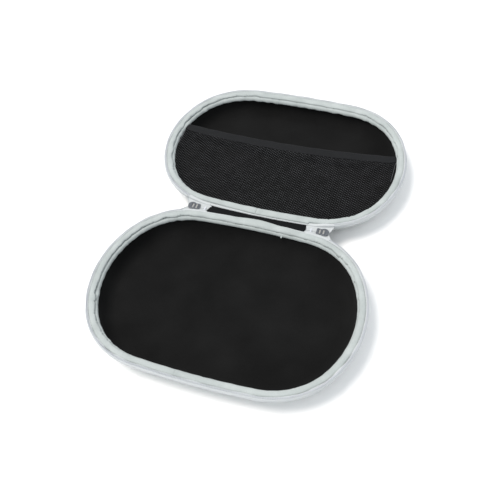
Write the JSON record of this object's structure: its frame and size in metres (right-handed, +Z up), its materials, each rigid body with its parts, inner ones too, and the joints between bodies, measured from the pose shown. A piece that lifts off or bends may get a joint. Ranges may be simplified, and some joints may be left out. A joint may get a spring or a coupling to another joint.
{
  "type": "paddle case",
  "caption": "Hard oval two-shell case for a table tennis paddle, opened flat on a fabric hinge, with a rim zip and a net pocket in the lid.",
  "frame": {"origin": "on the table under the middle of the hinge, at the centre of the opened case's footprint", "axes": "+X along the hinge, +Y across it from the base to the lid, +Z up out of the open shells"},
  "size_m": [0.288, 0.4218, 0.0298],
  "materials": {
    "coated_cloth": "white polyester with a smooth coating",
    "eva_foam": "moulded closed-cell foam",
    "brushed_lining": "black brushed knit",
    "binding": "pale grey-green soft binding",
    "thread": "polyester sewing thread",
    "zip_tape": "woven white zip tape",
    "zip_coil": "nylon coil",
    "net": "black open net",
    "band": "black folded tape",
    "elastic": "flat elastic",
    "webbing": "black webbing",
    "zinc_alloy": "grey cast zinc alloy",
    "pull_metal": "pale cast zinc alloy"
  },
  "bodies": {
    "base": {"base_cover": "coated_cloth", "base_foam_shell": "eva_foam", "base_lining": "brushed_lining", "base_rim_binding": "binding", "base_rim_thread": "thread", "base_zip_tape": "zip_tape", "base_zip_coil": "zip_coil"},
    "lid": {"lid_cover": "coated_cloth", "lid_foam_shell": "eva_foam", "lid_lining": "brushed_lining", "lid_rim_binding": "binding", "lid_rim_thread": "thread", "lid_zip_tape": "zip_tape", "lid_zip_coil": "zip_coil", "pocket_mesh": "net", "pocket_band": "band", "pocket_elastic": "elastic"},
    "hinge": {"hinge_web": "webbing", "hinge_cover": "coated_cloth", "tape_end_left": "zip_tape", "tape_end_right": "zip_tape", "zip_stop_left": "zip_coil", "zip_stop_right": "zip_coil"},
    "slider_left": {"slider_left": "zinc_alloy"},
    "slider_right": {"slider_right": "zinc_alloy"},
    "pull_left": {"pull_left": "pull_metal"},
    "pull_right": {"pull_right": "pull_metal"}
  },
  "joints": [
    {"name": "base_fold", "type": "hinge", "parent": "base", "child": "hinge", "pos_m": [0, -0.00285, 0.027], "axis": [1, 0, 0], "range_deg": [0, 90]},
    {"name": "lid_fold", "type": "hinge", "parent": "hinge", "child": "lid", "pos_m": [0, 0.00285, 0.027], "axis": [1, 0, 0], "range_deg": [0, 90]},
    {"name": "slider_left_run", "type": "slide", "parent": "hinge", "child": "slider_left", "axis": [1, 0, 0], "range_m": [0, 0.005]},
    {"name": "slider_right_run", "type": "slide", "parent": "hinge", "child": "slider_right", "axis": [-1, 0, 0], "range_m": [0, 0.005]},
    {"name": "pull_left_swing", "type": "hinge", "parent": "slider_left", "child": "pull_left", "pos_m": [-0.07845, 0, 0.01705], "axis": [0, 1, 0], "range_deg": [-75, 75]},
    {"name": "pull_right_swing", "type": "hinge", "parent": "slider_right", "child": "pull_right", "pos_m": [0.07845, 0, 0.01705], "axis": [0, 1, 0], "range_deg": [-75, 75]}
  ],
  "couplings": [
    {"joint": "lid_fold", "follows": "base_fold", "ratio": 1}
  ]
}
